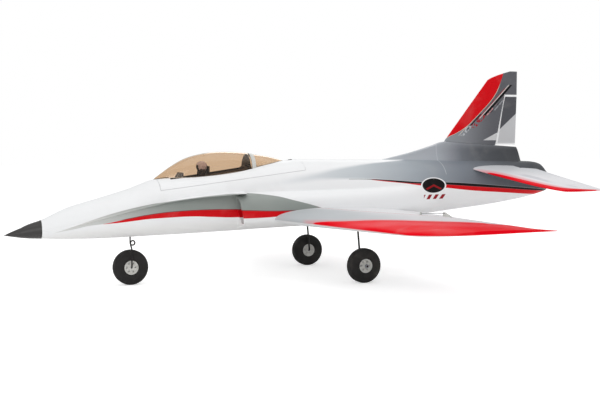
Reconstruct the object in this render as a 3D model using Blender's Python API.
"""A radio-control jet with a ducted fan, modelled piece by piece.

Metres, nose towards -X, left wing towards -Y, up +Z, standing on its wheels at z = 0.
Places along the aircraft are stations: distances aft of the nose tip.
"""

import bmesh
import bpy
import math
from mathutils import Matrix, Vector

# ---------------------------------------------------------------- driving dimensions
LENGTH = 1.217  # nose tip to the end of the tail
SPAN = 1.029
GAP = 0.0003  # between faces that touch
RUNNING = 0.0008  # round a moving control surface

HULL_WALL = 0.007
CONE_LENGTH = 0.068
HATCH_FRONT = 0.2925
HATCH_REAR = 0.598
HATCH_DEPTH = 0.021  # below the spine, at both ends
GLASS_FRONT = 0.288
GLASS_REAR = 0.571
GLASS_WALL = 0.0015
BAND_FRONT = 0.4880
BAND_WIDTH = 0.0090
COCKPIT_FRONT = 0.318
COCKPIT_REAR = 0.478
COCKPIT_HALF_WIDTH = 0.025
COCKPIT_DEPTH = 0.013
PILOT_STATION = 0.389
HELMET_RADIUS = 0.0115
HELMET_TOP = 0.2445

MOUTH_STATION = 0.446
MOUTH_RAKE = 0.22  # how far the top lip leads the bottom one, per unit of height
MOUTH_HALF_WIDTH = 0.0115
MOUTH_HALF_HEIGHT = 0.029
MOUTH_OFFSET = 0.0755  # centre of each mouth from the middle

WING_HEIGHT = 0.130
WING_ROOT = 0.098  # half width of the fuselage where the panels butt on
WING_FRONT = 0.515
WING_REAR = 0.865
WING_SWEEP = 0.247  # leading edge, aft per unit of span
WING_ROOT_THICKNESS = 0.035
TIP_LENGTH = 0.055  # the part of the span that rounds off
SPAR_STATION = 0.665
SPAR_RADIUS = 0.004
SPAR_HALF_LENGTH = 0.30
SPAR_BORE = 0.0002  # clearance round the spar

AILERON_HINGE = 0.812
AILERON_INNER = 0.215
AILERON_OUTER_MARGIN = 0.055  # from its outer end to the wing tip
AILERON_ROOT_RADIUS = 0.0058
AILERON_TIP_RADIUS = 0.0042
SURFACE_EDGE = 0.0012  # thickness of a trailing edge
HORN_HEIGHT = 0.0125

FIN_FRONT = LENGTH - 0.262
FIN_SWEEP = 0.805
FIN_TOP = 0.4430
FIN_REAR = LENGTH - 0.074
FIN_THICKNESS = 0.013
RIDGE_FRONT_TOP = 0.2825
RIDGE_REAR_TOP = 0.2705
RUDDER_TOP = 0.3885
RUDDER_LOW_HINGE = LENGTH - 0.1285
RUDDER_TOP_HINGE = LENGTH - 0.1055
RUDDER_RADIUS = 0.0036

STAB_ROOT = 0.0475
STAB_HALF_SPAN = 0.2350
STAB_HEIGHT = 0.2205
STAB_ANHEDRAL = math.radians(12)
STAB_FRONT = LENGTH - 0.212
STAB_REAR = LENGTH - 0.052
STAB_TIP_FRONT = LENGTH - 0.118
STAB_TIP_REAR = LENGTH - 0.010
STAB_THICKNESS = 0.0105
ELEVATOR_CHORD = 0.040
ELEVATOR_RADIUS = 0.0034

FAN_STATION = 0.780
FAN_HEIGHT = 0.179
FAN_RADIUS = 0.0335  # inside the shroud
SHROUD_WALL = 0.0016
SHROUD_LENGTH = 0.046
BLADE_CLEARANCE = 0.0006
BLADES = 12
FAN_HUB_RADIUS = 0.0145
MOTOR_RADIUS = 0.0120
MOTOR_LENGTH = 0.030
PIPE_RADIUS = 0.0222  # inside the tail pipe
PIPE_HEIGHT = 0.1925
PIPE_WALL = 0.0009
NOZZLE_LENGTH = 0.022
NOZZLE_WALL = 0.0014

WHEEL_RADIUS = 0.035
TYRE_WIDTH = 0.022
HUB_RADIUS = 0.0138
HUB_WIDTH = 0.0240
AXLE_CLEARANCE = 0.00025
NOSE_WHEEL_STATION = 0.241
MAIN_WHEEL_STATION = 0.683
MAIN_STRUT_STATION = 0.676
TRACK = 0.300
NOSE_WIRE_RADIUS = 0.0015
MAIN_WIRE_RADIUS = 0.0020
COIL_RADIUS = 0.0045  # to the middle of the wire
COIL_HEIGHT = 2 * WHEEL_RADIUS + 0.0135
LEG_SPACE = 0.0018  # between a tyre and its leg

SERVO = Vector((0.0230, 0.0120, 0.0220))
SERVO_FLANGE = Vector((0.0320, 0.0120, 0.0020))
SERVO_SHAFT_OFFSET = 0.0055  # from the middle of the case
ARM_LENGTH = 0.0125
ARM_THICKNESS = 0.0016
ARM_WIDTH = 0.0050
ROD_RADIUS = 0.0007
RUDDER_ROD_GAP = 0.0010

TRAY_STATION = 0.205
TRAY = Vector((0.146, 0.060, 0.0020))
TRAY_HEIGHT = 0.1336
BATTERY = Vector((0.130, 0.043, 0.031))
STRAP_WIDTH = 0.018
STRAP_THICKNESS = 0.0010
CONTROLLER = Vector((0.062, 0.030, 0.011))
RECEIVER = Vector((0.034, 0.022, 0.012))
BAY_FLOOR = 0.1125
UNDER_TRAY_FLOOR = 0.1034

NOSE_MOUNT = Vector((0.024, 0.028, 0.0220))
MAIN_MOUNT = Vector((0.028, 0.024, 0.0085))
MAIN_MOUNT_LOW = 0.1150
COLLAR_WIDTH = 0.0040
COLLAR_RADIUS = 0.0040
STEERING_SERVO = 0.290
AILERON_SERVO = 0.760
AILERON_SERVO_HEIGHT = 0.1325
AILERON_HORN = 0.245  # span place of the aileron linkage
RUDDER_SERVO = LENGTH - 0.177
RUDDER_SERVO_HEIGHT = 0.3125
ELEVATOR_SERVO = LENGTH - 0.172
ELEVATOR_SERVO_HEIGHT = 0.2242
ELEVATOR_THROW = 0.010
ELEVATOR_JOINER = STAB_REAR - ELEVATOR_CHORD
JOINER_HEIGHT = STAB_HEIGHT
JOINER_HALF = 0.0455
LATCH_STATION = 0.582

RING_POINTS = 32
ROUND = 24  # sides of a round piece


def along(station):
    """The x of a station."""
    return station - LENGTH / 2


# ---------------------------------------------------------------- scene, collections, materials
def clear_scene():
    for thing in list(bpy.data.objects):
        bpy.data.objects.remove(thing, do_unlink=True)


def new_collection(name):
    collection = bpy.data.collections.new(name)
    bpy.context.scene.collection.children.link(collection)
    return collection


clear_scene()
PIECES = new_collection("rc_jet_plane")
CUTTERS = new_collection("cutters")


def material(name, colour, roughness, metallic=0.0, alpha=1.0):
    made = bpy.data.materials.new(name)
    made.use_nodes = True
    shader = made.node_tree.nodes["Principled BSDF"]
    shader.inputs["Base Color"].default_value = (*colour, 1.0)
    shader.inputs["Roughness"].default_value = roughness
    shader.inputs["Metallic"].default_value = metallic
    shader.inputs["Alpha"].default_value = alpha
    return made


WHITE_FOAM = material("white_foam", (0.86, 0.87, 0.88), 0.42)
GREY_FOAM = material("grey_foam", (0.30, 0.31, 0.32), 0.42)
SILVER_FOAM = material("silver_foam", (0.62, 0.63, 0.65), 0.40)
BLACK_PLASTIC = material("black_plastic", (0.02, 0.02, 0.022), 0.45)
DARK_PLASTIC = material("dark_plastic", (0.05, 0.05, 0.055), 0.55)
WHITE_PLASTIC = material("white_plastic", (0.80, 0.80, 0.78), 0.40)
AMBER_GLASS = material("amber_glass", (0.62, 0.34, 0.12), 0.06, alpha=0.45)
TYRE_FOAM = material("tyre_foam", (0.03, 0.03, 0.032), 0.90)
BLACK_WIRE = material("black_wire", (0.05, 0.05, 0.055), 0.35, 0.9)
STEEL = material("steel", (0.55, 0.56, 0.58), 0.30, 1.0)
CARBON = material("carbon", (0.03, 0.03, 0.03), 0.35)
PLYWOOD = material("plywood", (0.55, 0.38, 0.20), 0.70)
BATTERY_WRAP = material("battery_wrap", (0.08, 0.09, 0.12), 0.35)
STRAP_WEB = material("strap_web", (0.06, 0.06, 0.06), 0.85)
PIPE_PLASTIC = material("pipe_plastic", (0.16, 0.16, 0.17), 0.40)
MOTOR_METAL = material("motor_metal", (0.45, 0.10, 0.10), 0.35, 0.8)
PILOT_PAINT = material("pilot_paint", (0.42, 0.40, 0.50), 0.50)


# ---------------------------------------------------------------- modelling helpers
def add(name, bm, finish=None, smooth_angle=35):
    """The bmesh as a named piece with its finish, or as a cutter where it has none."""
    mesh = bpy.data.meshes.new(name)
    bmesh.ops.recalc_face_normals(bm, faces=bm.faces)
    bm.to_mesh(mesh)
    bm.free()
    piece = bpy.data.objects.new(name, mesh)
    if finish is None:
        piece.hide_render = True
        piece.display_type = "WIRE"
        CUTTERS.objects.link(piece)
        return piece
    mesh.materials.append(finish)
    mesh.shade_smooth()
    mesh.set_sharp_from_angle(angle=math.radians(smooth_angle))
    PIECES.objects.link(piece)
    return piece


def combine(piece, tool, operation="DIFFERENCE"):
    boolean = piece.modifiers.new(f"{operation.lower()}_{tool.name}", "BOOLEAN")
    boolean.operation = operation
    boolean.solver = "EXACT"
    boolean.object = tool
    return piece


def loft(rings):
    """A closed skin through rings that have the same number of points."""
    bm = bmesh.new()
    loops = [[bm.verts.new(point) for point in ring] for ring in rings]
    for first, second in zip(loops, loops[1:]):
        for i in range(len(first)):
            j = (i + 1) % len(first)
            bm.faces.new((first[i], first[j], second[j], second[i]))
    bm.faces.new(loops[0])
    bm.faces.new(loops[-1])
    return bm


def box(low, high):
    bm = bmesh.new()
    bmesh.ops.create_cube(bm, size=1.0)
    size = Vector(high) - Vector(low)
    bmesh.ops.scale(bm, vec=size, verts=bm.verts)
    bmesh.ops.translate(bm, vec=(Vector(low) + Vector(high)) / 2, verts=bm.verts)
    return bm


def rod(start, end, radius, end_radius=None, sides=ROUND):
    """A round bar or cone between two points."""
    start, end = Vector(start), Vector(end)
    bm = bmesh.new()
    bmesh.ops.create_cone(
        bm,
        cap_ends=True,
        segments=sides,
        radius1=radius,
        radius2=radius if end_radius is None else end_radius,
        depth=(end - start).length,
    )
    turn = (end - start).to_track_quat("Z", "Y").to_matrix().to_4x4()
    bmesh.ops.transform(bm, matrix=Matrix.Translation((start + end) / 2) @ turn, verts=bm.verts)
    return bm


def turned(profile, centre, axis="Y", sides=ROUND, flat_below=False):
    """A closed outline of (radius, distance along the axis) points, turned round the axis.

    flat_below turns it by half a side, so that one side lies flat underneath.
    """
    bm = bmesh.new()
    outline = [bm.verts.new((radius, 0.0, height)) for radius, height in profile]
    edges = [bm.edges.new((a, b)) for a, b in zip(outline, outline[1:] + outline[:1])]
    bmesh.ops.spin(
        bm,
        geom=outline + edges,
        cent=(0.0, 0.0, 0.0),
        axis=(0.0, 0.0, 1.0),
        angle=math.tau,
        steps=sides,
        use_merge=True,
    )
    bmesh.ops.remove_doubles(bm, verts=bm.verts, dist=1e-6)
    turn = Vector((1.0, 0.0, 0.0) if axis == "X" else (0.0, 1.0, 0.0)).to_track_quat("Z", "Y")
    place = Matrix.Translation(centre) @ turn.to_matrix().to_4x4()
    if flat_below:
        place = place @ Matrix.Rotation(math.pi / sides, 4, "Z")
    bmesh.ops.transform(bm, matrix=place, verts=bm.verts)
    return bm


def wire(name, points, radius, finish):
    """A bent wire: a poly spline with a round bevel, made a mesh so that it can be cut."""
    curve = bpy.data.curves.new(name, "CURVE")
    curve.dimensions = "3D"
    curve.bevel_depth = radius
    curve.bevel_resolution = 2
    curve.use_fill_caps = True
    spline = curve.splines.new("POLY")
    spline.points.add(len(points) - 1)
    for target, point in zip(spline.points, points):
        target.co = (*point, 1.0)
    bent = bpy.data.objects.new(name + "_curve", curve)
    PIECES.objects.link(bent)
    bpy.context.view_layer.update()
    graph = bpy.context.evaluated_depsgraph_get()
    mesh = bpy.data.meshes.new_from_object(bent.evaluated_get(graph))
    bpy.data.objects.remove(bent, do_unlink=True)
    bm = bmesh.new()
    bm.from_mesh(mesh)
    bmesh.ops.remove_doubles(bm, verts=bm.verts, dist=1e-6)
    return add(name, bm, finish)


def signed_power(value, exponent):
    return math.copysign(abs(value) ** exponent, value)


def oval(x, low, high, half_width, widest, roundness=2.2, y=0.0, points=RING_POINTS):
    """An upright ring: a superellipse whose widest height can lie off the middle."""
    ring = []
    for i in range(points):
        angle = math.tau * (i + 0.5) / points
        out = half_width * signed_power(math.cos(angle), 2 / roundness)
        rise = signed_power(math.sin(angle), 2 / roundness)
        reach = high - widest if rise > 0 else widest - low
        ring.append((x, y + out, widest + rise * reach))
    return ring


def blend(stations, station):
    """A row of values at a station, on a smooth curve through the given rows."""
    rows = sorted(stations)
    station = min(max(station, rows[0][0]), rows[-1][0])
    k = max(i for i in range(len(rows) - 1) if rows[i][0] <= station)
    before, start = rows[max(k - 1, 0)], rows[k]
    end, after = rows[k + 1], rows[min(k + 2, len(rows) - 1)]
    span = end[0] - start[0]
    t = (station - start[0]) / span
    values = []
    for column in range(1, len(start)):
        slope_in = (end[column] - before[column]) / (end[0] - before[0]) * span
        slope_out = (after[column] - start[column]) / (after[0] - start[0]) * span
        values.append(
            (2 * t**3 - 3 * t**2 + 1) * start[column]
            + (t**3 - 2 * t**2 + t) * slope_in
            + (3 * t**2 - 2 * t**3) * end[column]
            + (t**3 - t**2) * slope_out
        )
    return values


def spaced(start, end, steps):
    return [start + (end - start) * i / steps for i in range(steps + 1)]


def aerofoil(front, rear, y, height, thickness, camber=0.0, points=9):
    """A wing section at one span place, from the trailing edge over the top and back below."""
    chord = rear - front
    upper, lower = [], []
    for i in range(points):
        t = 0.5 * (1 + math.cos(math.pi * i / (points - 1)))
        half = 5 * thickness * (
            0.2969 * math.sqrt(t) - 0.1260 * t - 0.3516 * t**2 + 0.2843 * t**3 - 0.1036 * t**4
        )
        half += t * SURFACE_EDGE / 2
        middle = height + camber * chord * 4 * t * (1 - t)
        upper.append((along(front + t * chord), y, middle + half))
        lower.append((along(front + t * chord), y, middle - half))
    return upper + lower[-2::-1]


def hull_row(station):
    """Low, high, half width, widest height and roundness of the fuselage at a station."""
    return blend(HULL, station)


# Station, low, high, half width, widest height, roundness
HULL = [
    (0.000, 0.1058, 0.1082, 0.0012, 0.1070, 2.0),
    (0.022, 0.1025, 0.1165, 0.0095, 0.1085, 2.0),
    (0.045, 0.0998, 0.1270, 0.0155, 0.1110, 2.0),
    (CONE_LENGTH, 0.0985, 0.1345, 0.0205, 0.1135, 2.0),
    (0.118, 0.0960, 0.1570, 0.0320, 0.1200, 2.1),
    (0.182, 0.0950, 0.1750, 0.0435, 0.1330, 2.2),
    (0.241, 0.0960, 0.1920, 0.0515, 0.1430, 2.3),
    (0.288, 0.0970, 0.2085, 0.0560, 0.1500, 2.3),
    (0.360, 0.0985, 0.2170, 0.0600, 0.1580, 2.3),
    (0.440, 0.1010, 0.2280, 0.0620, 0.1650, 2.3),
    (0.520, 0.1040, 0.2390, 0.0640, 0.1680, 2.3),
    (0.600, 0.1075, 0.2460, 0.0660, 0.1700, 2.3),
    (0.700, 0.1115, 0.2450, 0.0680, 0.1740, 2.2),
    (LENGTH - 0.417, 0.1170, 0.2440, 0.0680, 0.1780, 2.1),
    (LENGTH - 0.311, 0.1240, 0.2430, 0.0620, 0.1830, 2.1),
    (LENGTH - 0.217, 0.1330, 0.2420, 0.0540, 0.1870, 2.1),
    (LENGTH - 0.138, 0.1410, 0.2410, 0.0465, 0.1900, 2.1),
    (LENGTH - 0.063, 0.1520, 0.2380, 0.0395, 0.1920, 2.1),
    (LENGTH - 0.016, 0.1625, 0.2330, 0.0345, 0.1930, 2.1),
    (LENGTH, 0.1665, 0.2180, 0.0275, 0.1925, 2.0),
]

# Station, low, high, half width of the air-intake cheeks
CHEEKS = [
    (MOUTH_STATION, 0.1110, 0.1830, 0.0925),
    (0.520, 0.1090, 0.1850, 0.0945),
    (0.620, 0.1095, 0.1870, 0.0945),
    (0.720, 0.1130, 0.1900, 0.0890),
    (LENGTH - 0.397, 0.1190, 0.1960, 0.0780),
    (LENGTH - 0.327, 0.1270, 0.2020, 0.0600),
]


def hull_rings(stations, grow=0.0, points=RING_POINTS):
    """Fuselage rings, each pushed outwards by grow."""
    rings = []
    for station in stations:
        low, high, half_width, widest, roundness = hull_row(station)
        x = along(station)
        rings.append(oval(x, low - grow, high + grow, half_width + grow, widest, roundness, points=points))
    return rings


# ---------------------------------------------------------------- fuselage, hatch and canopy
def hatch_floor(station):
    """Height of the parting plane between hatch and fuselage."""
    front_top, rear_top = hull_row(HATCH_FRONT)[1], hull_row(HATCH_REAR)[1]
    share = (station - HATCH_FRONT) / (HATCH_REAR - HATCH_FRONT)
    return front_top + share * (rear_top - front_top) - HATCH_DEPTH


def sloped_box(front, rear, half_width, low, high, y=0.0):
    """A box whose floor and roof follow the hatch's slope, from low to high above its floor."""
    rings = []
    for station in (front, rear):
        floor, x = hatch_floor(station), along(station)
        rings.append([
            (x, y - half_width, floor + low),
            (x, y + half_width, floor + low),
            (x, y + half_width, floor + high),
            (x, y - half_width, floor + high),
        ])
    return loft(rings)


def duct_centre(station):
    """Height of the air path's middle, from the fan back to the tail pipe."""
    straight_end = FAN_STATION + SHROUD_LENGTH
    share = max(station - straight_end, 0.0) / (LENGTH - straight_end)
    return FAN_HEIGHT + share * (PIPE_HEIGHT - FAN_HEIGHT)


def pipe_radius(station):
    """Inside radius of the thrust tube, which narrows towards the tail."""
    front = FAN_STATION + SHROUD_LENGTH
    share = (station - front) / (LENGTH - NOZZLE_LENGTH - front)
    return FAN_RADIUS + min(share, 1.0) * (PIPE_RADIUS - FAN_RADIUS)


def round_ring(station, radius, points=ROUND):
    centre = duct_centre(station)
    return [
        (
            along(station),
            radius * math.cos(math.tau * i / points),
            centre + radius * math.sin(math.tau * i / points),
        )
        for i in range(points)
    ]


def intake_path(side):
    """Rings of one air path, from ahead of its mouth to where both join at the fan."""
    rings = []
    for station, y, half_width, height, half_height, roundness in (
        (MOUTH_STATION - 0.030, MOUTH_OFFSET, MOUTH_HALF_WIDTH, 0.1475, MOUTH_HALF_HEIGHT, 4),
        (0.500, MOUTH_OFFSET, MOUTH_HALF_WIDTH, 0.1475, MOUTH_HALF_HEIGHT, 4),
        (0.570, MOUTH_OFFSET - 0.010, 0.0150, 0.155, 0.0230, 3),
        (0.640, 0.0480, 0.0180, 0.167, 0.0210, 2.4),
        (0.700, 0.0300, 0.0200, 0.176, 0.0220, 2.2),
        (FAN_STATION - 0.030, 0.0120, 0.0210, 0.179, 0.0240, 2),
    ):
        rings.append(
            oval(
                along(station),
                height - half_height,
                height + half_height,
                half_width,
                height,
                roundness,
                y=side * y,
                points=20,
            )
        )
    return loft(rings)


def strake_blade():
    """A thin blade that runs from the nose to the top lips of the intakes."""
    rings = []
    for station, height, half_width in (
        (0.110, 0.1195, 0.0295),
        (0.173, 0.1350, 0.0440),
        (0.241, 0.1525, 0.0560),
        (0.310, 0.1675, 0.0670),
        (0.371, 0.1755, 0.0790),
        (MOUTH_STATION - 0.010, 0.1800, 0.0925),
        (MOUTH_STATION + 0.020, 0.1815, 0.0935),
    ):
        x = along(station)
        rings.append([
            (x, -half_width, height - 0.0008),
            (x, 0.0, height - 0.0050),
            (x, half_width, height - 0.0008),
            (x, half_width, height + 0.0008),
            (x, 0.0, height + 0.0050),
            (x, -half_width, height + 0.0008),
        ])
    return loft(rings)


def cheeks():
    rings = []
    front = CHEEKS[0][0]
    for station in (front, 0.48, 0.52, 0.57, 0.62, 0.67, 0.72, 0.77, 0.82, CHEEKS[-1][0]):
        low, high, half_width = blend(CHEEKS, station)
        ring = oval(along(station), low, high, half_width, (low + high) / 2, 3.4)
        if station == front:
            middle = (low + high) / 2
            ring = [(x - MOUTH_RAKE * (z - middle), y, z) for x, y, z in ring]
        rings.append(ring)
    return loft(rings)


def ridge_top(station):
    """Height of the ridge that carries the fin."""
    share = (station - FIN_FRONT) / (LENGTH - 0.077 - FIN_FRONT)
    return RIDGE_FRONT_TOP + share * (RIDGE_REAR_TOP - RIDGE_FRONT_TOP)


def fin_ridge():
    rings = []
    rear = LENGTH - 0.077
    for station, top, foot, shoulder in (
        (LENGTH - 0.437, 0.2400, 0.010, 0.0040),
        (LENGTH - 0.349, 0.2590, 0.024, 0.0065),
        (LENGTH - 0.299, 0.2725, 0.026, 0.0080),
        (FIN_FRONT, ridge_top(FIN_FRONT), 0.027, 0.0085),
        (rear - 0.040, ridge_top(rear - 0.040), 0.024, 0.0075),
        (rear, ridge_top(rear), 0.020, 0.0060),
        (rear + 0.014, 0.2380, 0.012, 0.0050),
    ):
        x = along(station)
        rings.append([
            (x, -foot, 0.2250),
            (x, -shoulder - 0.004, 0.2 * 0.225 + 0.8 * top),
            (x, -shoulder, top - 0.0012),
            (x, -shoulder + 0.0015, top),
            (x, shoulder - 0.0015, top),
            (x, shoulder, top - 0.0012),
            (x, shoulder + 0.004, 0.2 * 0.225 + 0.8 * top),
            (x, foot, 0.2250),
        ])
    return loft(rings)


def wing_front(y):
    """Station of the wing's leading edge."""
    tip = SPAN / 2 - TIP_LENGTH
    if y <= tip:
        return WING_FRONT + WING_SWEEP * (y - WING_ROOT)
    out = (y - tip) / TIP_LENGTH
    return WING_FRONT + WING_SWEEP * (tip - WING_ROOT) + 0.070 * out**2.2


def wing_rear(y):
    tip = SPAN / 2 - TIP_LENGTH
    return WING_REAR + 0.018 * (max(y - tip, 0.0) / TIP_LENGTH) ** 1.5


def wing_section(y, side, at=None):
    """The section at span place y; at puts it somewhere else, as for a stub inside the hull."""
    out = (y - WING_ROOT) / (SPAN / 2 - WING_ROOT)
    thickness = WING_ROOT_THICKNESS * (1 - 0.52 * max(out, 0.0) - 0.30 * max(out, 0.0) ** 8)
    front, rear = wing_front(y), wing_rear(y)
    place = side * (y if at is None else at)
    return aerofoil(front, rear, place, WING_HEIGHT, thickness, camber=0.008)


def wing_stub(side):
    return loft([wing_section(WING_ROOT, side, at=0.050), wing_section(WING_ROOT, side, at=WING_ROOT - GAP)])


def stab_section(y, side, at=None):
    out = (y - STAB_ROOT) / (STAB_HALF_SPAN - STAB_ROOT)
    bow = max(out, 0.0) ** 6
    front = STAB_FRONT + out * (STAB_TIP_FRONT - 0.020 - STAB_FRONT) + 0.020 * bow
    rear = STAB_REAR + out * (STAB_TIP_REAR - STAB_REAR)
    place = y if at is None else at
    height = STAB_HEIGHT - (place - STAB_ROOT) * math.tan(STAB_ANHEDRAL)
    thickness = STAB_THICKNESS * (1 - 0.35 * max(out, 0.0) - 0.25 * bow)
    return aerofoil(front, rear, side * place, height, thickness)


def stab_stub(side):
    return loft([stab_section(STAB_ROOT, side, at=0.020), stab_section(STAB_ROOT, side, at=STAB_ROOT - GAP)])


def build_fuselage():
    stations = [CONE_LENGTH + GAP, 0.093, 0.118, 0.150, 0.182, 0.212, 0.241, 0.265, 0.288, 0.325]
    stations += spaced(0.360, 0.760, 10)
    stations += [LENGTH - back for back in (0.417, 0.364, 0.311, 0.264, 0.217, 0.178, 0.138, 0.100)]
    stations += [LENGTH - back for back in (0.063, 0.040, 0.016, 0.006, 0.0)]
    body = add("fuselage", loft(hull_rings(stations)), WHITE_FOAM)
    combine(body, add("join_cheeks", cheeks()), "UNION")
    combine(body, add("join_strakes", strake_blade()), "UNION")
    combine(body, add("join_ridge", fin_ridge()), "UNION")
    for side in (-1, 1):
        combine(body, add(f"join_wing_stub_{side}", wing_stub(side)), "UNION")
        combine(body, add(f"join_stab_stub_{side}", stab_stub(side)), "UNION")
        combine(body, add(f"cut_intake_{side}", intake_path(side)))
    combine(body, add("cut_hatch", sloped_box(HATCH_FRONT, HATCH_REAR, 0.10, 0.0, 0.06)))
    for name, bm in bay_cutters().items():
        combine(body, add(name, bm))
    return body


def bay_cutters():
    """Hollows of the fuselage: nose bay, radio bay, fan bay, thrust-tube bore and linkage ways."""
    ledge_half = BATTERY.y / 2 + STRAP_THICKNESS + 0.002
    tray_end = TRAY_STATION + TRAY.x
    nose_bay = [
        oval(along(0.180), TRAY_HEIGHT - GAP, hull_row(0.180)[1] - HULL_WALL, 0.031, 0.148, 4),
        oval(along(0.240), TRAY_HEIGHT - GAP, hull_row(0.240)[1] - HULL_WALL, 0.0405, 0.150, 4),
        oval(along(0.3000), TRAY_HEIGHT - GAP, hull_row(0.3000)[1] - HULL_WALL, 0.044, 0.156, 4),
    ]
    radio_bay = [
        oval(along(0.2950), TRAY_HEIGHT - GAP, 0.2350, 0.044, 0.160, 6),
        oval(along(tray_end + 0.001), TRAY_HEIGHT - GAP, 0.2350, 0.046, 0.162, 6),
        oval(along(0.450), TRAY_HEIGHT - GAP, 0.2500, 0.046, 0.170, 6),
        oval(along(0.560), TRAY_HEIGHT - GAP, 0.2600, 0.030, 0.170, 6),
    ]
    fan_front, fan_rear = FAN_STATION, FAN_STATION + SHROUD_LENGTH
    shroud = (FAN_RADIUS + SHROUD_WALL) / math.cos(math.pi / ROUND) + GAP
    fan_bay = [
        round_ring(fan_front - 0.035, FAN_RADIUS - 0.004),
        round_ring(fan_front - GAP, shroud),
        round_ring(fan_rear + GAP, shroud),
    ]
    tail = [fan_rear - 0.004, 0.95, 1.08, LENGTH - NOZZLE_LENGTH, LENGTH + 0.010]
    bore = [round_ring(s, pipe_radius(s) + PIPE_WALL + NOZZLE_WALL + 2 * GAP) for s in tail]
    spar = rod((along(SPAR_STATION), -0.2, WING_HEIGHT), (along(SPAR_STATION), 0.2, WING_HEIGHT),
               SPAR_RADIUS + SPAR_BORE)
    leg = rod((along(NOSE_WHEEL_STATION), 0, 0.08), (along(NOSE_WHEEL_STATION), 0, 0.112), 0.0045)
    return {
        "cut_nose_bay": loft(nose_bay),
        "cut_radio_bay": loft(radio_bay),
        "cut_under_tray": box(
            (along(TRAY_STATION + 0.004), -ledge_half, 0.1030),
            (along(tray_end - 0.004), ledge_half, TRAY_HEIGHT + 0.010),
        ),
        "cut_radio_floor": box((along(tray_end + 0.010), -0.0280, BAY_FLOOR), (along(0.545), 0.0280, 0.150)),
        "cut_fan_bay": loft(fan_bay),
        "cut_tube_bore": loft(bore),
        "cut_spar": spar,
        "cut_nose_leg": leg,
        "cut_elevator_servo": box(
            (along(LENGTH - 0.190), -0.0145, 0.2176), (along(LENGTH - 0.154), 0.0165, 0.2385)
        ),
        "cut_elevator_way": box(
            (along(LENGTH - 0.160), 0.0095, 0.2270), (along(LENGTH - 0.085), 0.0165, 0.2385)
        ),
        "cut_elevator_horn": box(
            (along(ELEVATOR_JOINER - 0.0065), 0.0095, JOINER_HEIGHT - 0.0010),
            (along(ELEVATOR_JOINER + 0.0065), 0.0145, 0.2375),
        ),
        "cut_tray_seat": box(
            (along(TRAY_STATION) - GAP, -TRAY.y / 2 - GAP, TRAY_HEIGHT - GAP),
            (along(tray_end) + GAP, TRAY.y / 2 + GAP, TRAY_HEIGHT + 0.010),
        ),
        "cut_joiner": rod(
            (along(ELEVATOR_JOINER), -0.06, JOINER_HEIGHT), (along(ELEVATOR_JOINER), 0.06, JOINER_HEIGHT), 0.0028
        ),
    }


def build_canopy():
    """The lift-off hatch, with its two lengths of glazing, the band between them and the cockpit."""
    stations = [HATCH_FRONT - 0.010] + spaced(HATCH_FRONT + 0.010, HATCH_REAR + 0.010, 12)
    hatch = add("canopy_hatch", loft(hull_rings(stations)), WHITE_FOAM)
    keep = sloped_box(HATCH_FRONT + 0.0006, HATCH_REAR - 0.0006, 0.10, GAP, 0.08)
    combine(hatch, add("keep_hatch", keep), "INTERSECT")
    recess = sloped_box(COCKPIT_FRONT, COCKPIT_REAR, COCKPIT_HALF_WIDTH, 0.0055, 0.05)
    combine(hatch, add("cut_cockpit", recess))
    slot = sloped_box(LATCH_STATION - 0.007, LATCH_STATION + 0.013, 0.0045, HATCH_DEPTH - 0.0040, 0.05)
    combine(hatch, add("cut_latch", slot))

    skin = add("cut_skin", loft(hull_rings(spaced(GLASS_FRONT - 0.02, GLASS_REAR + 0.02, 14), grow=GAP)))
    for name, front, rear, grow, wall in (
        ("canopy_glass", GLASS_FRONT - 0.02, BAND_FRONT - GAP, 0.0, GLASS_WALL),
        ("canopy_band", BAND_FRONT, BAND_FRONT + BAND_WIDTH, 0.0006, 0.0026),
        ("canopy_tail_glass", BAND_FRONT + BAND_WIDTH + GAP, GLASS_REAR + 0.02, 0.0, GLASS_WALL),
    ):
        finish = WHITE_PLASTIC if name == "canopy_band" else AMBER_GLASS
        pane = add(name, glass_form(grow), finish)
        combine(pane, add(f"cut_inside_{name}", glass_form(grow - wall)))
        trim = box((along(front), -0.1, 0.15), (along(rear), 0.1, 0.30))
        combine(pane, add(f"keep_{name}", trim), "INTERSECT")
        combine(pane, skin)

    tub = sloped_box(COCKPIT_FRONT + GAP, COCKPIT_REAR - GAP, COCKPIT_HALF_WIDTH - GAP, 0.0058, 0.0165)
    tray = add("cockpit_tub", tub, DARK_PLASTIC)
    wall = 0.0015
    hollow = sloped_box(COCKPIT_FRONT + wall, COCKPIT_REAR - wall, COCKPIT_HALF_WIDTH - wall, 0.0072, 0.05)
    combine(tray, add("cut_tub", hollow))
    build_pilot()
    panel = loft([
        [(along(s), -w, hatch_floor(s) + 0.0075), (along(s), w, hatch_floor(s) + 0.0075),
         (along(s), w * 0.75, hatch_floor(s) + h), (along(s), -w * 0.75, hatch_floor(s) + h)]
        for s, w, h in ((0.336, 0.017, 0.0180), (0.342, 0.018, 0.0275), (0.3475, 0.018, 0.0270))
    ])
    add("instrument_panel", panel, DARK_PLASTIC)
    base = sloped_box(
        LATCH_STATION - 0.006, LATCH_STATION + 0.006, 0.0040, HATCH_DEPTH - 0.0036, HATCH_DEPTH - 0.0012
    )
    latch = add("hatch_latch", base, BLACK_PLASTIC)
    knob = sloped_box(
        LATCH_STATION - 0.003, LATCH_STATION + 0.003, 0.0030, HATCH_DEPTH - 0.0020, HATCH_DEPTH + 0.0022
    )
    combine(latch, add("join_latch_knob", knob), "UNION")


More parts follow.
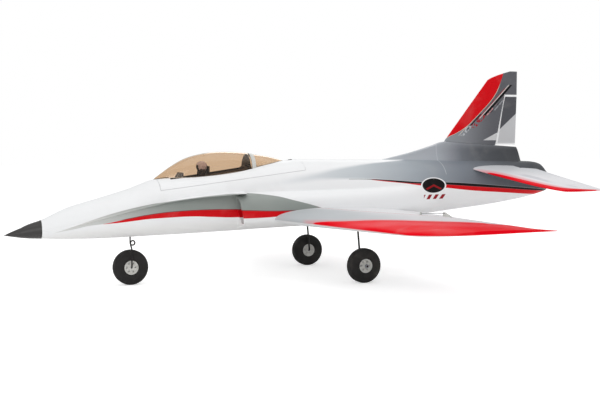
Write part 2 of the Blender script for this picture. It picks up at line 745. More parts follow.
def glass_form(grow):
    """The whole bubble as a solid; its lower half lies inside the hatch."""
    rings = []
    for station, top, half_width in (
        (GLASS_FRONT - 0.006, 0.2020, 0.0030),
        (GLASS_FRONT + 0.003, 0.2110, 0.0075),
        (GLASS_FRONT + 0.016, 0.2205, 0.0135),
        (GLASS_FRONT + 0.037, 0.2350, 0.0205),
        (GLASS_FRONT + 0.067, 0.2505, 0.0275),
        (GLASS_FRONT + 0.100, 0.2592, 0.0325),
        (GLASS_FRONT + 0.135, 0.2630, 0.0350),
        (GLASS_FRONT + 0.173, 0.2622, 0.0350),
        (BAND_FRONT - 0.0020, 0.2600, 0.0327),
        (BAND_FRONT + BAND_WIDTH + 0.0020, 0.2577, 0.0300),
        (BAND_FRONT + 0.045, 0.2525, 0.0230),
        (GLASS_REAR - 0.010, 0.2455, 0.0120),
        (GLASS_REAR + 0.004, 0.2405, 0.0050),
    ):
        low = hatch_floor(max(station, HATCH_FRONT)) - 0.001
        spread = half_width + grow
        rings.append(oval(along(station), low - grow, top + grow, spread, low + 0.006, 2.1, points=24))
    return loft(rings)


def build_pilot():
    """A helmeted bust with no face: torso, helmet and visor in one."""
    x, floor = along(PILOT_STATION), hatch_floor(PILOT_STATION) + 0.0097
    neck = HELMET_TOP - 2 * HELMET_RADIUS
    torso = rod((x, 0, floor), (x, 0, neck + 0.004), 0.0150, 0.0070)
    bust = add("pilot_bust", torso, PILOT_PAINT)
    helmet = bmesh.new()
    bmesh.ops.create_uvsphere(helmet, u_segments=16, v_segments=10, radius=HELMET_RADIUS)
    bmesh.ops.translate(helmet, vec=(x, 0, HELMET_TOP - HELMET_RADIUS), verts=helmet.verts)
    combine(bust, add("join_helmet", helmet), "UNION")


# ---------------------------------------------------------------- wings and tail
def hinged_surface(name, ends, chord_rear, horn=None, finish=WHITE_FOAM):
    """A control surface: a round nose on its hinge axis, tapering to a thin trailing edge.

    ends holds, for each end, the axis point, the nose radius and the direction across the
    surface; chord_rear holds the two trailing-edge points.
    """
    rings = []
    for (axis_point, radius, across), rear in zip(ends, chord_rear):
        axis_point, across, rear = Vector(axis_point), Vector(across), Vector(rear)
        back = (rear - axis_point).normalized()
        ring = [rear + across * SURFACE_EDGE / 2]
        for i in range(7):
            angle = math.pi * i / 6
            ring.append(axis_point + across * radius * math.cos(angle) - back * radius * math.sin(angle))
        ring.append(rear - across * SURFACE_EDGE / 2)
        rings.append(ring)
    surface = add(name, loft(rings), finish)
    if horn is not None:
        combine(surface, add(f"join_horn_{name}", horn), "UNION")
    return surface


def hinge_slot(ends, chord_rear, margin):
    """The room that a control surface turns in, open at the trailing edge."""
    (a, ra, across_a), (b, rb, across_b) = ends
    a, b = Vector(a), Vector(b)
    run = (b - a).normalized()
    rings = []
    for point, radius, across, rear, push in (
        (a, ra, across_a, chord_rear[0], -1), (b, rb, across_b, chord_rear[1], 1)
    ):
        across, rear = Vector(across), Vector(rear)
        back = (rear - point).normalized()
        point = point + run * push * margin
        rear = rear + run * push * margin
        front = point - back * (radius + RUNNING)
        rings.append([
            front + across * 0.03,
            front - across * 0.03,
            rear + back * 0.03 - across * 0.03,
            rear + back * 0.03 + across * 0.03,
        ])
    return loft(rings)


def servo_shape(shaft_at, up, length_axis):
    """A servo case with its flange and shaft, placed by the foot of its shaft."""
    bm = bmesh.new()
    case = [
        (-SERVO.x / 2 - SERVO_SHAFT_OFFSET, -SERVO.y / 2, -SERVO.z),
        (SERVO.x / 2 - SERVO_SHAFT_OFFSET, SERVO.y / 2, 0.0),
    ]
    bmesh.ops.create_cube(bm, size=1.0)
    size = Vector(case[1]) - Vector(case[0])
    bmesh.ops.scale(bm, vec=size, verts=bm.verts)
    bmesh.ops.translate(bm, vec=(Vector(case[0]) + Vector(case[1])) / 2, verts=bm.verts)
    bmesh.ops.transform(bm, matrix=servo_frame(shaft_at, up, length_axis), verts=bm.verts)
    return bm


def servo_frame(shaft_at, up, length_axis):
    """The matrix that puts the shaft foot at a point, its shaft along up."""
    up, length_axis = Vector(up), Vector(length_axis)
    side = up.cross(length_axis)
    turn = Matrix((length_axis, side, up)).transposed().to_4x4()
    return Matrix.Translation(shaft_at) @ turn


def build_servo(name, shaft_at, up, length_axis, flange=True):
    frame = servo_frame(shaft_at, up, length_axis)
    servo = add(name, servo_shape(shaft_at, up, length_axis), DARK_PLASTIC)
    if flange:
        plate = box(
            (-SERVO_FLANGE.x / 2 - SERVO_SHAFT_OFFSET, -SERVO.y / 2, -0.0085),
            (SERVO_FLANGE.x / 2 - SERVO_SHAFT_OFFSET, SERVO.y / 2, -0.0085 + SERVO_FLANGE.z),
        )
        bmesh.ops.transform(plate, matrix=frame, verts=plate.verts)
        combine(servo, add(f"join_flange_{name}", plate), "UNION")
    shaft = rod((0, 0, -0.002), (0, 0, 0.0018), 0.0030, sides=12)
    bmesh.ops.transform(shaft, matrix=frame, verts=shaft.verts)
    combine(servo, add(f"join_shaft_{name}", shaft), "UNION")
    return servo


def build_arm(name, shaft_at, up, pointing, length=ARM_LENGTH):
    """A servo arm: a round hub on the shaft, and one arm with a hole near its end."""
    frame = servo_frame(shaft_at, up, pointing)
    low, high = 0.0018 + GAP, 0.0018 + GAP + ARM_THICKNESS
    hub = rod((0, 0, low), (0, 0, high + 0.001), 0.0034, sides=16)
    bmesh.ops.transform(hub, matrix=frame, verts=hub.verts)
    arm = add(name, hub, WHITE_PLASTIC)
    blade = loft([
        [(x, -w, low), (x, w, low), (x, w, high), (x, -w, high)]
        for x, w in ((0.0, 0.0028), (length + 0.0025, 0.0016))
    ])
    bmesh.ops.transform(blade, matrix=frame, verts=blade.verts)
    combine(arm, add(f"join_blade_{name}", blade), "UNION")
    hole = rod((length, 0, low - 0.002), (length, 0, high + 0.002), 0.0008, sides=8)
    bmesh.ops.transform(hole, matrix=frame, verts=hole.verts)
    combine(arm, add(f"cut_hole_{name}", hole))
    return arm


def aileron_ends(side):
    outer = SPAN / 2 - AILERON_OUTER_MARGIN
    height = WING_HEIGHT + 0.0010
    ends = [
        ((along(AILERON_HINGE), side * AILERON_INNER, height), AILERON_ROOT_RADIUS, (0, 0, 1)),
        ((along(AILERON_HINGE), side * outer, height), AILERON_TIP_RADIUS, (0, 0, 1)),
    ]
    rear = [
        (along(wing_rear(AILERON_INNER)), side * AILERON_INNER, WING_HEIGHT),
        (along(wing_rear(outer)), side * outer, WING_HEIGHT),
    ]
    return ends, rear


def build_wing(side, word):
    places = [WING_ROOT] + spaced(0.13, SPAN / 2 - TIP_LENGTH, 5)
    places += [SPAN / 2 - TIP_LENGTH * left for left in (0.78, 0.55, 0.34, 0.18, 0.07, 0.0)]
    wing = add(f"wing_{word}", loft([wing_section(y, side) for y in places]), SILVER_FOAM)
    ends, rear = aileron_ends(side)
    combine(wing, add(f"cut_aileron_{word}", hinge_slot(ends, rear, RUNNING)))
    spar_end = SPAR_HALF_LENGTH + 0.0006
    bore = rod(
        (along(SPAR_STATION), side * 0.09, WING_HEIGHT),
        (along(SPAR_STATION), side * spar_end, WING_HEIGHT),
        SPAR_RADIUS + SPAR_BORE,
    )
    combine(wing, add(f"cut_spar_{word}", bore))

    # The servo lies on its side in a pocket from below; its arm comes out through the top.
    shaft = (along(AILERON_SERVO), side * (AILERON_HORN - 0.0026), AILERON_SERVO_HEIGHT)
    low_y, high_y = sorted((side * (AILERON_HORN - 0.0285), side * (AILERON_HORN - 0.0005)))
    pocket = box(
        (shaft[0] - 0.0225, low_y, 0.09),
        (shaft[0] + 0.0125, high_y, AILERON_SERVO_HEIGHT + SERVO.y / 2 + 0.0006),
    )
    combine(wing, add(f"cut_servo_{word}", pocket))
    low_y, high_y = sorted((side * (AILERON_HORN - 0.0040), side * (AILERON_HORN + 0.0040)))
    slit = box((shaft[0] - 0.0100, low_y, 0.125), (shaft[0] + 0.0100, high_y, 0.16))
    combine(wing, add(f"cut_arm_slit_{word}", slit))
    mount_box = box(*mount_corners(side, GAP))
    combine(wing, add(f"cut_mount_{word}", mount_box))

    build_servo(f"aileron_servo_{word}", shaft, (0, side, 0), (1, 0, 0))
    build_arm(f"aileron_arm_{word}", shaft, (0, side, 0), (0, 0, 1), length=HORN_HEIGHT)
    rod_y = side * (AILERON_HORN + 0.0028)
    top = AILERON_SERVO_HEIGHT + HORN_HEIGHT
    horn_top = WING_HEIGHT + 0.0010 + HORN_HEIGHT
    pushrod = rod((shaft[0] + 0.0, rod_y, top), (along(AILERON_HINGE), rod_y, horn_top), ROD_RADIUS, sides=10)
    add(f"aileron_pushrod_{word}", pushrod, STEEL)
    low_y, high_y = sorted((side * (AILERON_HORN - 0.0008), side * (AILERON_HORN + 0.0010)))
    horn = loft([
        [(x, low_y, z), (x, high_y, z), (x + w, high_y, z), (x + w, low_y, z)]
        for x, w, z in (
            (along(AILERON_HINGE) - 0.002, 0.020, WING_HEIGHT),
            (along(AILERON_HINGE) - 0.003, 0.006, horn_top + 0.002),
        )
    ])
    hinged_surface(f"aileron_{word}", ends, rear, horn, SILVER_FOAM)
    return wing


def rudder_ends():
    low = Vector((along(RUDDER_LOW_HINGE), 0.0, ridge_top(RUDDER_LOW_HINGE) + 0.0022))
    high = Vector((along(RUDDER_TOP_HINGE), 0.0, RUDDER_TOP))
    ends = [(low, RUDDER_RADIUS, (0, 1, 0)), (high, RUDDER_RADIUS * 0.75, (0, 1, 0))]
    rear_low = Vector((along(FIN_REAR - 0.003), 0.0, low.z - 0.0005))
    rear = [rear_low, Vector((along(FIN_REAR), 0.0, RUDDER_TOP))]
    return ends, rear


def fin_section(height):
    """A level slice of the fin."""
    share = (height - 0.28) / (FIN_TOP - 0.28)
    front = FIN_FRONT + FIN_SWEEP * (height - 0.286)
    if height > 0.419:
        front = 1.062 + LENGTH - 1.217 + 0.062 * ((height - 0.419) / (FIN_TOP - 0.419)) ** 1.5
    thickness = FIN_THICKNESS * (1 - 0.45 * max(share, 0.0) - 0.3 * max(share, 0.0) ** 10)
    ring = aerofoil(front, FIN_REAR, 0.0, 0.0, thickness)
    return [(x, z, height) for x, y, z in ring]


def build_fin():
    heights = [0.255, 0.285, 0.320, 0.360, 0.395, 0.419, 0.428, 0.435, 0.440, FIN_TOP]
    bm = loft([fin_section(height) for height in heights])
    foot = Vector((along(FIN_FRONT), 0.0, ridge_top(FIN_FRONT) + GAP))
    slope = Vector((1.0, 0.0, (ridge_top(FIN_REAR) - ridge_top(FIN_FRONT)) / (FIN_REAR - FIN_FRONT)))
    normal = Vector((0.0, 1.0, 0.0)).cross(slope).normalized()
    cut = bmesh.ops.bisect_plane(
        bm, geom=bm.verts[:] + bm.edges[:] + bm.faces[:], plane_co=foot, plane_no=normal, clear_outer=True
    )
    rim = [edge for edge in cut["geom_cut"] if isinstance(edge, bmesh.types.BMEdge)]
    bmesh.ops.contextual_create(bm, geom=rim)
    fin = add("fin", bm, GREY_FOAM)
    ends, rear = rudder_ends()
    combine(fin, add("cut_rudder", rudder_room(ends, rear)))
    shaft = (along(RUDDER_SERVO), 0.0020, RUDDER_SERVO_HEIGHT)
    pocket = box(
        (shaft[0] - 0.0222, -0.0044, shaft[2] - SERVO.z - 0.0006), (shaft[0] + 0.0112, 0.02, shaft[2] + 0.0060)
    )
    combine(fin, add("cut_rudder_servo", pocket))
    build_servo("rudder_servo", shaft, (0, 0, 1), (1, 0, 0))
    build_arm("rudder_arm", shaft, (0, 0, 1), (0, 1, 0))
    rod_y = shaft[1] + ARM_LENGTH
    level = shaft[2] + 0.0018 + GAP + ARM_THICKNESS + RUDDER_ROD_GAP + ROD_RADIUS
    hinge_x = rudder_axis_at(level).x
    pushrod = rod((shaft[0], rod_y, level), (hinge_x + 0.0015, rod_y, level), ROD_RADIUS, sides=10)
    add("rudder_pushrod", pushrod, STEEL)
    under = level - RUDDER_ROD_GAP - ROD_RADIUS
    horn = box((hinge_x + 0.0004, 0.0, under - 0.0018), (hinge_x + 0.008, rod_y + 0.002, under))
    hinged_surface("rudder", ends, rear, horn, GREY_FOAM)


def rudder_axis_at(height):
    ends, rear = rudder_ends()
    low, high = ends[0][0], ends[1][0]
    return low + (high - low) * ((height - low.z) / (high.z - low.z))


def rudder_room(ends, rear):
    """The slot behind the fin: as the rudder, a little larger, and open at the foot."""
    (low, low_radius, across), (high, high_radius, _) = ends
    run = (high - low).normalized()
    ends = [(low - run * 0.03, low_radius, across), (high, high_radius, across)]
    return hinge_slot(ends, [rear[0] - run * 0.03, rear[1]], RUNNING + 0.0004)


def elevator_ends(side):
    ends, rear = [], []
    for y in (STAB_ROOT + 0.0015, STAB_HALF_SPAN - 0.012):
        out = (y - STAB_ROOT) / (STAB_HALF_SPAN - STAB_ROOT)
        back = STAB_REAR + out * (STAB_TIP_REAR - STAB_REAR)
        height = STAB_HEIGHT - (y - STAB_ROOT) * math.tan(STAB_ANHEDRAL)
        chord = ELEVATOR_CHORD * (1 - 0.15 * out)
        across = (0, side * math.sin(STAB_ANHEDRAL), math.cos(STAB_ANHEDRAL))
        radius = ELEVATOR_RADIUS * (1 - 0.38 * out)
        ends.append((Vector((along(back - chord), side * y, height)), radius, across))
        rear.append(Vector((along(back), side * y, height)))
    return ends, rear


def build_stab(side, word):
    places = [STAB_ROOT] + spaced(0.080, 0.190, 3) + [0.210, 0.222, 0.230, STAB_HALF_SPAN]
    stab = add(f"stab_{word}", loft([stab_section(y, side) for y in places]), SILVER_FOAM)
    ends, rear = elevator_ends(side)
    (a, ra, across), (b, rb, _) = ends
    run = (b - a).normalized()
    room = [(a - run * 0.01, ra, across), (b, rb, across)]
    combine(stab, add(f"cut_elevator_{word}", hinge_slot(room, [rear[0] - run * 0.01, rear[1]], RUNNING)))
    hinged_surface(f"elevator_{word}", ends, rear, None, SILVER_FOAM)


def build_elevator_drive():
    """The hidden linkage: a servo ahead, a pushrod, and a joiner rod with a horn."""
    shaft = (along(ELEVATOR_SERVO), 0.0083, ELEVATOR_SERVO_HEIGHT)
    build_servo("elevator_servo", shaft, (0, 1, 0), (1, 0, 0), flange=False)
    build_arm("elevator_arm", shaft, (0, 1, 0), (0, 0, 1), length=ELEVATOR_THROW)
    rod_y = shaft[1] + 0.0018 + GAP + ARM_THICKNESS + 0.0004 + ROD_RADIUS
    joiner_x = along(ELEVATOR_JOINER)
    pushrod = rod(
        (shaft[0], rod_y, shaft[2] + ELEVATOR_THROW),
        (joiner_x, rod_y, JOINER_HEIGHT + ELEVATOR_THROW),
        ROD_RADIUS,
        sides=10,
    )
    add("elevator_pushrod", pushrod, STEEL)
    joiner = add(
        "elevator_joiner",
        rod((joiner_x, -JOINER_HALF, JOINER_HEIGHT), (joiner_x, JOINER_HALF, JOINER_HEIGHT), 0.0018, sides=12),
        STEEL,
    )
    horn_y = rod_y - ROD_RADIUS - 0.0004
    horn = box(
        (joiner_x - 0.0018, horn_y - 0.0016, JOINER_HEIGHT),
        (joiner_x + 0.0018, horn_y, JOINER_HEIGHT + ELEVATOR_THROW + 0.0014),
    )
    combine(joiner, add("join_elevator_horn", horn), "UNION")


# ---------------------------------------------------------------- fan, thrust tube and tail pipe
def build_power():
    front = along(FAN_STATION)
    outer = FAN_RADIUS + SHROUD_WALL
    ring = [(FAN_RADIUS, 0.0), (outer, 0.0), (outer, SHROUD_LENGTH), (FAN_RADIUS, SHROUD_LENGTH)]
    centre = (front, 0.0, FAN_HEIGHT)
    shroud = add("fan_shroud", turned(ring, centre, "X", 32), DARK_PLASTIC)
    can_front, can_rear, can_wall = 0.0160, SHROUD_LENGTH - 0.001, 0.0020
    motor_bore = MOTOR_RADIUS + GAP
    can = [
        (0.0020, can_front),
        (motor_bore + can_wall, can_front),
        (motor_bore + can_wall, can_rear),
        (motor_bore, can_rear),
        (motor_bore, can_front + can_wall),
        (0.0020, can_front + can_wall),
    ]
    combine(shroud, add("join_can", turned(can, centre, "X", 24)), "UNION")
    for k in range(4):
        vane = box((0.020, -0.0010, motor_bore + can_wall / 2), (0.042, 0.0010, FAN_RADIUS + SHROUD_WALL / 2))
        spin = Matrix.Rotation(math.tau * (k + 0.5) / 4, 4, "X")
        bmesh.ops.transform(vane, matrix=Matrix.Translation(centre) @ spin, verts=vane.verts)
        combine(shroud, add(f"join_vane_{k}", vane), "UNION")

    motor_front = can_front + can_wall + GAP
    motor_profile = [
        (0.0, motor_front - 0.0120),
        (0.0016, motor_front - 0.0120),
        (0.0016, motor_front),
        (MOTOR_RADIUS, motor_front),
        (MOTOR_RADIUS, motor_front + MOTOR_LENGTH),
        (0.0, motor_front + MOTOR_LENGTH),
    ]
    add("fan_motor", turned_solid(motor_profile, centre, "X"), MOTOR_METAL)

    hub_rear = can_front - 0.0010
    rotor_profile = [
        (0.0, -0.0130),
        (0.0050, -0.0118),
        (0.0100, -0.0070),
        (0.0132, -0.0010),
        (FAN_HUB_RADIUS, 0.0050),
        (FAN_HUB_RADIUS, hub_rear),
        (0.0016 + GAP, hub_rear),
        (0.0016 + GAP, 0.0058),
        (0.0, 0.0058),
    ]
    rotor = add("fan_rotor", turned_solid(rotor_profile, centre, "X"), BLACK_PLASTIC)
    tip = FAN_RADIUS - BLADE_CLEARANCE
    for k in range(BLADES):
        blade = loft([
            [(-c * math.cos(a) - t * math.sin(a), -c * math.sin(a) + t * math.cos(a), r),
             (c * math.cos(a) - t * math.sin(a), c * math.sin(a) + t * math.cos(a), r),
             (c * math.cos(a) + t * math.sin(a), c * math.sin(a) - t * math.cos(a), r),
             (-c * math.cos(a) + t * math.sin(a), -c * math.sin(a) - t * math.cos(a), r)]
            for r, c, a, t in (
                (FAN_HUB_RADIUS - 0.001, 0.0050, math.radians(38), 0.0007),
                ((FAN_HUB_RADIUS + tip) / 2, 0.0062, math.radians(50), 0.0006),
                (tip - 0.0003, 0.0066, math.radians(60), 0.0005),
            )
        ])
        spin = Matrix.Translation((front + 0.0095, 0, FAN_HEIGHT)) @ Matrix.Rotation(math.tau * k / BLADES, 4, "X")
        bmesh.ops.transform(blade, matrix=spin, verts=blade.verts)
        combine(rotor, add(f"join_blade_{k}", blade), "UNION")

    tube_front = FAN_STATION + SHROUD_LENGTH + GAP
    tube_rear = LENGTH - NOZZLE_LENGTH
    places = spaced(tube_front, tube_rear, 4)
    tube = add("thrust_tube", loft([round_ring(s, pipe_radius(s) + PIPE_WALL) for s in places]), PIPE_PLASTIC)
    inside = [places[0] - 0.01] + places[1:-1] + [places[-1] + 0.01]
    combine(tube, add("cut_tube", loft([round_ring(s, pipe_radius(s)) for s in inside])))
    nozzle_places = (tube_rear + GAP, LENGTH)
    outer = PIPE_RADIUS + PIPE_WALL + NOZZLE_WALL
    nozzle = add("tail_pipe_ring", loft([round_ring(s, outer) for s in nozzle_places]), PIPE_PLASTIC)
    inside = (nozzle_places[0] - 0.01, nozzle_places[1] + 0.01)
    combine(nozzle, add("cut_ring", loft([round_ring(s, PIPE_RADIUS) for s in inside])))


def turned_solid(profile, centre, axis, sides=ROUND):
    """A turned outline whose two ends lie on the axis."""
    bm = bmesh.new()
    outline = [bm.verts.new((radius, 0.0, height)) for radius, height in profile]
    edges = [bm.edges.new(pair) for pair in zip(outline, outline[1:])]
    bmesh.ops.spin(
        bm,
        geom=outline + edges,
        cent=(0.0, 0.0, 0.0),
        axis=(0.0, 0.0, 1.0),
        angle=math.tau,
        steps=sides,
        use_merge=True,
    )
    bmesh.ops.remove_doubles(bm, verts=bm.verts, dist=1e-6)
    turn = Vector((1.0, 0.0, 0.0) if axis == "X" else (0.0, 1.0, 0.0)).to_track_quat("Z", "Y")
    place = Matrix.Translation(centre) @ turn.to_matrix().to_4x4()
    bmesh.ops.transform(bm, matrix=place, verts=bm.verts)
    return bm


# ---------------------------------------------------------------- radio and battery
def build_electrics():
    tray_rear = TRAY_STATION + TRAY.x
    add(
        "battery_tray",
        box(
            (along(TRAY_STATION), -TRAY.y / 2, TRAY_HEIGHT),
            (along(tray_rear), TRAY.y / 2, TRAY_HEIGHT + TRAY.z),
        ),
        PLYWOOD,
    )
    tray = bpy.data.objects["battery_tray"]
    strap_at = TRAY_STATION + TRAY.x / 2
    inner_half = BATTERY.y / 2 + GAP
    for side in (-1, 1):
        low_y, high_y = sorted((side * (inner_half - 0.0003), side * (inner_half + STRAP_THICKNESS + 0.0006)))
        slot = box(
            (along(strap_at - STRAP_WIDTH / 2 - 0.001), low_y, TRAY_HEIGHT - 0.01),
            (along(strap_at + STRAP_WIDTH / 2 + 0.001), high_y, TRAY_HEIGHT + 0.01),
        )
        combine(tray, add(f"cut_strap_slot_{side}", slot))
    floor = TRAY_HEIGHT + TRAY.z + GAP
    start = TRAY_STATION + (TRAY.x - BATTERY.x) / 2
    pack = box(
        (along(start), -BATTERY.y / 2, floor), (along(start + BATTERY.x), BATTERY.y / 2, floor + BATTERY.z)
    )
    bmesh.ops.bevel(
        pack, geom=pack.edges[:], offset=0.0025, offset_type="OFFSET", segments=2, profile=0.5, affect="EDGES",
        material=-1,
    )
    add("battery", pack, BATTERY_WRAP)
    low, high = TRAY_HEIGHT - GAP, floor + BATTERY.z + GAP
    strap = add(
        "battery_strap",
        box(
            (along(strap_at - STRAP_WIDTH / 2), -inner_half - STRAP_THICKNESS, low - STRAP_THICKNESS),
            (along(strap_at + STRAP_WIDTH / 2), inner_half + STRAP_THICKNESS, high + STRAP_THICKNESS),
        ),
        STRAP_WEB,
    )
    hole = box(
        (along(strap_at - STRAP_WIDTH), -inner_half, low), (along(strap_at + STRAP_WIDTH), inner_half, high)
    )
    combine(strap, add("cut_strap", hole))
    floor = BAY_FLOOR + GAP
    for name, station, size in (("speed_controller", 0.395, CONTROLLER), ("receiver", 0.500, RECEIVER)):
        case = box(
            (along(station - size.x / 2), -size.y / 2, floor),
            (along(station + size.x / 2), size.y / 2, floor + size.z),
        )
        bmesh.ops.bevel(
            case, geom=case.edges[:], offset=0.001, offset_type="OFFSET", segments=1, profile=0.5, affect="EDGES",
            material=-1,
        )
        add(name, case, BLACK_PLASTIC)


# ---------------------------------------------------------------- landing gear
def build_wheel(word, station, y, axle_radius):
    bore = axle_radius + AXLE_CLEARANCE
    half = TYRE_WIDTH / 2
    seat = HUB_RADIUS + GAP
    sides = 32
    outer = WHEEL_RADIUS / math.cos(math.pi / sides)  # so that the flat side stands on the ground
    shoulder = [
        (seat, 0.94 * half),
        (HUB_RADIUS + 0.0080, half),
        (outer - 0.0085, 0.98 * half),
        (outer - 0.0030, 0.88 * half),
        (outer - 0.0006, 0.66 * half),
        (outer, 0.42 * half),
    ]
    profile = shoulder + [(radius, -out) for radius, out in reversed(shoulder)]
    centre = (along(station), y, WHEEL_RADIUS)
    add(f"{word}_tyre", turned(profile, centre, "Y", sides, flat_below=True), TYRE_FOAM)
    side = HUB_WIDTH / 2
    hub = [
        (bore, -side),
        (0.0050, -side),
        (0.0058, -side + 0.0035),
        (0.0108, -side + 0.0035),
        (HUB_RADIUS, -side + 0.0015),
        (HUB_RADIUS, side - 0.0015),
        (0.0108, side - 0.0035),
        (0.0058, side - 0.0035),
        (0.0050, side),
        (bore, side),
    ]
    add(f"{word}_hub", turned(hub, centre, "Y", 24), WHITE_PLASTIC)


def join_collar(leg, station, side):
    """The collar that its set screw holds on the axle's end, one with the leg."""
    y = side * (HUB_WIDTH / 2 + GAP) + (0.0 if leg.name == "nose_leg" else side * TRACK / 2)
    x = along(station)
    ring = rod((x, y, WHEEL_RADIUS), (x, y + side * COLLAR_WIDTH, WHEEL_RADIUS), COLLAR_RADIUS, sides=16)
    combine(leg, add(f"join_collar_{leg.name}", ring), "UNION")


def build_nose_gear():
    x = along(NOSE_WHEEL_STATION)
    servo_foot = UNDER_TRAY_FLOOR + SERVO.z
    block = box(
        (x - NOSE_MOUNT.x / 2, -NOSE_MOUNT.y / 2, UNDER_TRAY_FLOOR),
        (x + NOSE_MOUNT.x / 2, NOSE_MOUNT.y / 2, UNDER_TRAY_FLOOR + NOSE_MOUNT.z),
    )
    mount = add("nose_leg_mount", block, DARK_PLASTIC)
    bore = rod((x, 0, 0.09), (x, 0, 0.14), NOSE_WIRE_RADIUS + GAP, sides=12)
    combine(mount, add("cut_nose_bore", bore))

    pitch = 2 * NOSE_WIRE_RADIUS + 0.0006
    leg_y = -(TYRE_WIDTH / 2 + LEG_SPACE + NOSE_WIRE_RADIUS)
    arm_low = servo_foot + 0.0018 + GAP
    top = arm_low + ARM_THICKNESS + 0.0012
    points = [(x, 0.0, top), (x, 0.0, COIL_HEIGHT + 0.0015)]
    turns = 14
    for i in range(turns + 1):
        angle = math.pi + math.tau * i / turns
        points.append((
            x + COIL_RADIUS * (1 + math.cos(angle)),
            -pitch * i / turns,
            COIL_HEIGHT + COIL_RADIUS * math.sin(angle),
        ))
    points += [
        (x, -pitch, COIL_HEIGHT - 0.0020),
        (x, -pitch - 0.0010, COIL_HEIGHT - 0.0040),
        (x, leg_y + 0.0012, 2 * WHEEL_RADIUS + 0.0045),
        (x, leg_y, 2 * WHEEL_RADIUS + 0.0020),
        (x, leg_y, WHEEL_RADIUS + 0.0020),
        (x, leg_y + 0.0006, WHEEL_RADIUS + 0.0006),
        (x, leg_y + 0.0020, WHEEL_RADIUS),
        (x, HUB_WIDTH / 2 + GAP + COLLAR_WIDTH + 0.0012, WHEEL_RADIUS),
    ]
    leg = wire("nose_leg", points, NOSE_WIRE_RADIUS, BLACK_WIRE)
    join_collar(leg, NOSE_WHEEL_STATION, 1)
    build_wheel("nose", NOSE_WHEEL_STATION, 0.0, NOSE_WIRE_RADIUS)

    collar = rod((x, 0, arm_low - 0.0016), (x, 0, top - 0.0004), 0.0042, sides=16)
    arm = add("steering_arm", collar, WHITE_PLASTIC)
    blade = box((x - 0.0022, 0.0, arm_low), (x + 0.0022, ARM_LENGTH + 0.0025, arm_low + ARM_THICKNESS))
    combine(arm, add("join_steering_blade", blade), "UNION")
    combine(arm, add("cut_steering_bore", rod((x, 0, 0.1), (x, 0, 0.15), NOSE_WIRE_RADIUS + GAP, sides=12)))

    shaft = (along(STEERING_SERVO), 0.0, servo_foot)
    build_servo("steering_servo", shaft, (0, 0, 1), (1, 0, 0), flange=False)
    build_arm("steering_servo_arm", shaft, (0, 0, 1), (0, 1, 0))
    level = arm_low + ARM_THICKNESS + 0.0004 + ROD_RADIUS
    pushrod = rod((x, ARM_LENGTH, level), (shaft[0], ARM_LENGTH, level), ROD_RADIUS, sides=10)
    add("steering_pushrod", pushrod, STEEL)


def mount_corners(side, grow=0.0):
    """Corners of a main-leg mount, let into the wing from below."""
    x, y = along(MAIN_STRUT_STATION), side * main_leg_y()
    half = MAIN_MOUNT / 2
    low = (x - half.x - grow, y - half.y - grow, MAIN_MOUNT_LOW)
    high = (x + half.x + grow, y + half.y + grow, MAIN_MOUNT_LOW + MAIN_MOUNT.z + grow)
    if grow:
        low = (low[0], low[1], low[2] - 0.02)
    return low, high


def main_leg_y():
    """How far out the main legs stand, inboard of their wheels."""
    return TRACK / 2 - TYRE_WIDTH / 2 - LEG_SPACE - MAIN_WIRE_RADIUS


def build_main_gear(side, word):
    top_x, low_x = along(MAIN_STRUT_STATION), along(MAIN_WHEEL_STATION)
    y = side * main_leg_y()
    mount = add(f"main_leg_mount_{word}", box(*mount_corners(side)), DARK_PLASTIC)
    roof = MAIN_MOUNT_LOW + MAIN_MOUNT.z
    bore = rod((top_x, y, 0.10), (top_x, y, roof - 0.0015), MAIN_WIRE_RADIUS + GAP, sides=12)
    combine(mount, add(f"cut_leg_bore_{word}", bore))
    end = side * (TRACK / 2 + HUB_WIDTH / 2 + GAP + COLLAR_WIDTH + 0.0012)
    points = [
        (top_x, y, roof - 0.0020),
        (top_x, y, MAIN_MOUNT_LOW - 0.0030),
        (low_x, y, WHEEL_RADIUS + 0.0022),
        (low_x, y + side * 0.0006, WHEEL_RADIUS + 0.0006),
        (low_x, y + side * 0.0022, WHEEL_RADIUS),
        (low_x, end, WHEEL_RADIUS),
    ]
    leg = wire(f"main_leg_{word}", points, MAIN_WIRE_RADIUS, BLACK_WIRE)
    join_collar(leg, MAIN_WHEEL_STATION, side)
    build_wheel(f"main_{word}", MAIN_WHEEL_STATION, side * TRACK / 2, MAIN_WIRE_RADIUS)


# ---------------------------------------------------------------- the whole aircraft
def build_nose_cone():
    places = [0.0, 0.0035, 0.011, 0.022, 0.034, 0.045, 0.057, CONE_LENGTH]
    add("nose_cone", loft(hull_rings(places)), BLACK_PLASTIC)


def stand_on_axis(place, names):
    """Moves the named pieces' origins to a point on their joint's axis; the shapes stay put."""
    shift = Vector(place)
    for name in names:
        piece = bpy.data.objects[name]
        piece.data.transform(Matrix.Translation(-shift))
        piece.location = shift


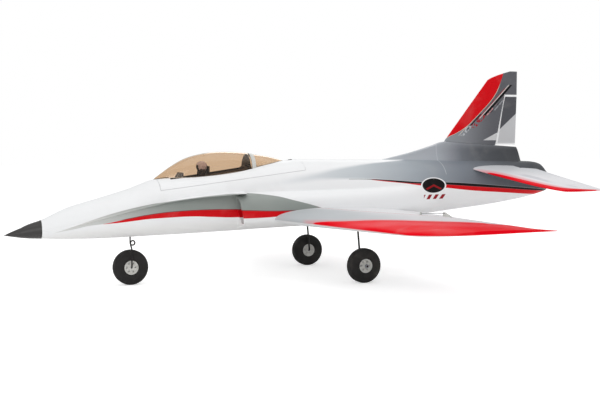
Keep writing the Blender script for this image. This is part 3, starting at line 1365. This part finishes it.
def set_origins():
    low_hinge = rudder_ends()[0][0][0]
    nose = (along(NOSE_WHEEL_STATION), 0.0)
    arm_stand = 0.0018 + GAP
    stand_on_axis(low_hinge, ["rudder"])
    stand_on_axis((along(RUDDER_SERVO), 0.0020, RUDDER_SERVO_HEIGHT), ["rudder_arm", "rudder_pushrod"])
    stand_on_axis((*nose, COIL_HEIGHT), ["nose_leg", "steering_arm"])
    stand_on_axis((along(STEERING_SERVO), 0.0, UNDER_TRAY_FLOOR + SERVO.z + arm_stand), ["steering_servo_arm"])
    stand_on_axis((*nose, WHEEL_RADIUS), ["nose_tyre", "nose_hub"])
    stand_on_axis((along(FAN_STATION), 0.0, FAN_HEIGHT), ["fan_rotor"])
    canopy = ["canopy_hatch", "canopy_glass", "canopy_band", "canopy_tail_glass", "cockpit_tub"]
    stand_on_axis((along(HATCH_FRONT), 0.0, hatch_floor(HATCH_FRONT)), canopy + ["pilot_bust", "instrument_panel"])
    stand_on_axis((along(LATCH_STATION), 0.0, hatch_floor(LATCH_STATION)), ["hatch_latch"])
    for side, word in ((-1, "left"), (1, "right")):
        stand_on_axis(
            (along(AILERON_HINGE), side * AILERON_HORN, WING_HEIGHT), [f"aileron_{word}", f"aileron_pushrod_{word}"]
        )
        stand_on_axis((along(AILERON_SERVO), side * AILERON_HORN, AILERON_SERVO_HEIGHT), [f"aileron_arm_{word}"])
        stand_on_axis(elevator_ends(side)[0][0][0], [f"elevator_{word}"])
        wheel = (along(MAIN_WHEEL_STATION), side * TRACK / 2, WHEEL_RADIUS)
        stand_on_axis(wheel, [f"main_{word}_tyre", f"main_{word}_hub"])


def build_all():
    build_fuselage()
    build_nose_cone()
    build_canopy()
    build_power()
    build_electrics()
    build_nose_gear()
    for side, word in ((-1, "left"), (1, "right")):
        build_wing(side, word)
        build_stab(side, word)
        build_main_gear(side, word)
    spar = rod(
        (along(SPAR_STATION), -SPAR_HALF_LENGTH, WING_HEIGHT),
        (along(SPAR_STATION), SPAR_HALF_LENGTH, WING_HEIGHT),
        SPAR_RADIUS,
    )
    add("wing_spar", spar, CARBON)
    build_fin()
    build_elevator_drive()
    set_origins()


build_all()
